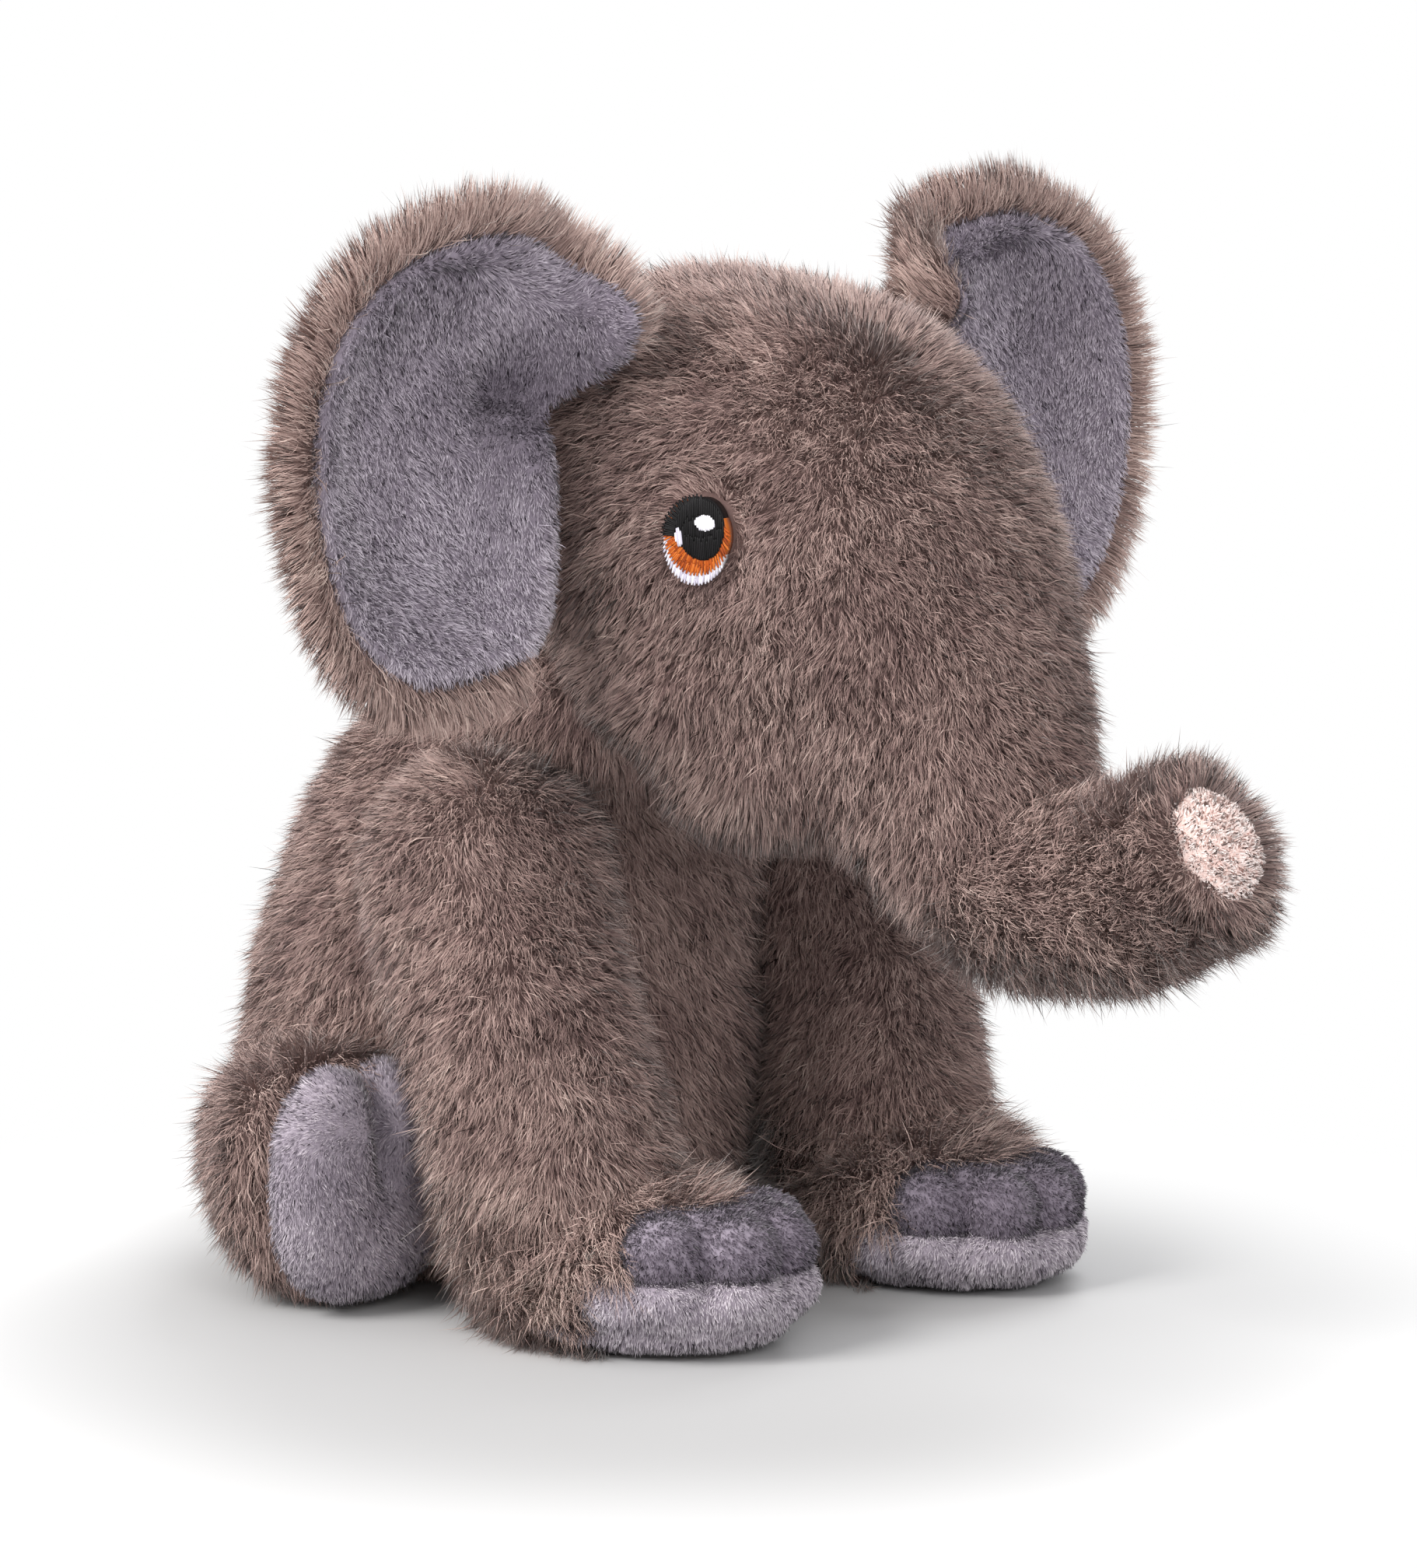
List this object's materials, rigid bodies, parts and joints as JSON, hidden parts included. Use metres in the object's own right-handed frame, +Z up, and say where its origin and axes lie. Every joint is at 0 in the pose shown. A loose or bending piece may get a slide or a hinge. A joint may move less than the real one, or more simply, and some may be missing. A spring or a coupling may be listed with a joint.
{
  "type": "plush elephant",
  "caption": "Sitting plush elephant with long pile fur, round plush lined ears, embroidered eyes, an upturned trunk and soft padded feet.",
  "frame": {"origin": "under the middle of the bounding box, on the surface that the toy sits on", "axes": "+Z up, the toy faces -Y, its own right side is -X"},
  "size_m": [0.2004, 0.226, 0.1832],
  "materials": {
    "fur": "long pile, matt with a soft sheen",
    "plush_lining": "short pile, matt with a soft sheen",
    "plush_sole": "short pile, matt with a soft sheen",
    "pink_fleece": "fleece, matt",
    "eye_black": "satin stitch thread",
    "eye_orange": "satin stitch thread",
    "eye_white": "satin stitch thread",
    "stuffing": "loose fibre, matt",
    "pellet_bag": "thin woven cloth, matt"
  },
  "bodies": {
    "torso": {"body_skin": "fur", "body_stuffing": "stuffing", "bean_bag": "pellet_bag"},
    "tail": {"tail_cord": "fur", "tail_tuft": "fur"},
    "neck": {"neck_stuffing": "stuffing"},
    "head": {"head_skin": "fur", "head_stuffing": "stuffing", "right_eye_pupil": "eye_black", "right_eye_iris": "eye_orange", "right_eye_white": "eye_white", "right_eye_glint_large": "eye_white", "right_eye_glint_small": "eye_white", "left_eye_pupil": "eye_black", "left_eye_iris": "eye_orange", "left_eye_white": "eye_white", "left_eye_glint_large": "eye_white", "left_eye_glint_small": "eye_white"},
    "trunk": {"trunk_skin": "fur", "trunk_stuffing": "stuffing", "trunk_tip": "pink_fleece"},
    "right_ear": {"right_ear_back": "fur", "right_ear_lining": "plush_lining"},
    "right_front_leg": {"right_front_leg_skin": "fur", "right_front_leg_stuffing": "stuffing", "right_front_sole": "plush_sole", "right_front_toe_cap": "plush_lining"},
    "right_hind_leg": {"right_hind_leg_skin": "fur", "right_hind_leg_stuffing": "stuffing", "right_hind_sole": "plush_sole"},
    "left_ear": {"left_ear_back": "fur", "left_ear_lining": "plush_lining"},
    "left_front_leg": {"left_front_leg_skin": "fur", "left_front_leg_stuffing": "stuffing", "left_front_sole": "plush_sole", "left_front_toe_cap": "plush_lining"},
    "left_hind_leg": {"left_hind_leg_skin": "fur", "left_hind_leg_stuffing": "stuffing", "left_hind_sole": "plush_sole"}
  },
  "joints": [
    {"name": "neck_turn", "type": "hinge", "parent": "torso", "child": "neck", "pos_m": [0, 0.01661, 0.101], "axis": [0, 0, 1], "range_deg": [-20, 20], "stiffness_Nm_per_rad": 0.6},
    {"name": "head_nod", "type": "hinge", "parent": "neck", "child": "head", "pos_m": [0, 0.01661, 0.101], "axis": [-1, 0, 0], "range_deg": [-7, 12], "stiffness_Nm_per_rad": 1.2},
    {"name": "trunk_lift", "type": "hinge", "parent": "head", "child": "trunk", "pos_m": [0, -0.06939, 0.076], "axis": [-1, 0, 0], "range_deg": [-20, 20], "stiffness_Nm_per_rad": 0.3},
    {"name": "tail_wag", "type": "hinge", "parent": "torso", "child": "tail", "pos_m": [0, 0.09781, 0.026], "axis": [0, 0, 1], "range_deg": [-30, 30], "stiffness_Nm_per_rad": 0.02},
    {"name": "right_ear_flap", "type": "hinge", "parent": "head", "child": "right_ear", "pos_m": [-0.043, -0.00339, 0.137], "axis": [0, 0, 1], "range_deg": [-20, 25], "stiffness_Nm_per_rad": 0.12},
    {"name": "right_front_leg_swing", "type": "hinge", "parent": "torso", "child": "right_front_leg", "pos_m": [-0.037, 0.01661, 0.074], "axis": [-1, 0, 0], "range_deg": [-4, 15], "stiffness_Nm_per_rad": 0.5},
    {"name": "right_hind_leg_lift", "type": "hinge", "parent": "torso", "child": "right_hind_leg", "pos_m": [-0.041, 0.05561, 0.0215], "axis": [-1, 0, 0], "range_deg": [0, 15], "stiffness_Nm_per_rad": 0.4},
    {"name": "left_ear_flap", "type": "hinge", "parent": "head", "child": "left_ear", "pos_m": [0.043, -0.00339, 0.137], "axis": [0, 0, -1], "range_deg": [-20, 25], "stiffness_Nm_per_rad": 0.12},
    {"name": "left_front_leg_swing", "type": "hinge", "parent": "torso", "child": "left_front_leg", "pos_m": [0.037, 0.01661, 0.074], "axis": [-1, 0, 0], "range_deg": [-4, 15], "stiffness_Nm_per_rad": 0.5},
    {"name": "left_hind_leg_lift", "type": "hinge", "parent": "torso", "child": "left_hind_leg", "pos_m": [0.041, 0.05561, 0.0215], "axis": [-1, 0, 0], "range_deg": [0, 15], "stiffness_Nm_per_rad": 0.4}
  ]
}
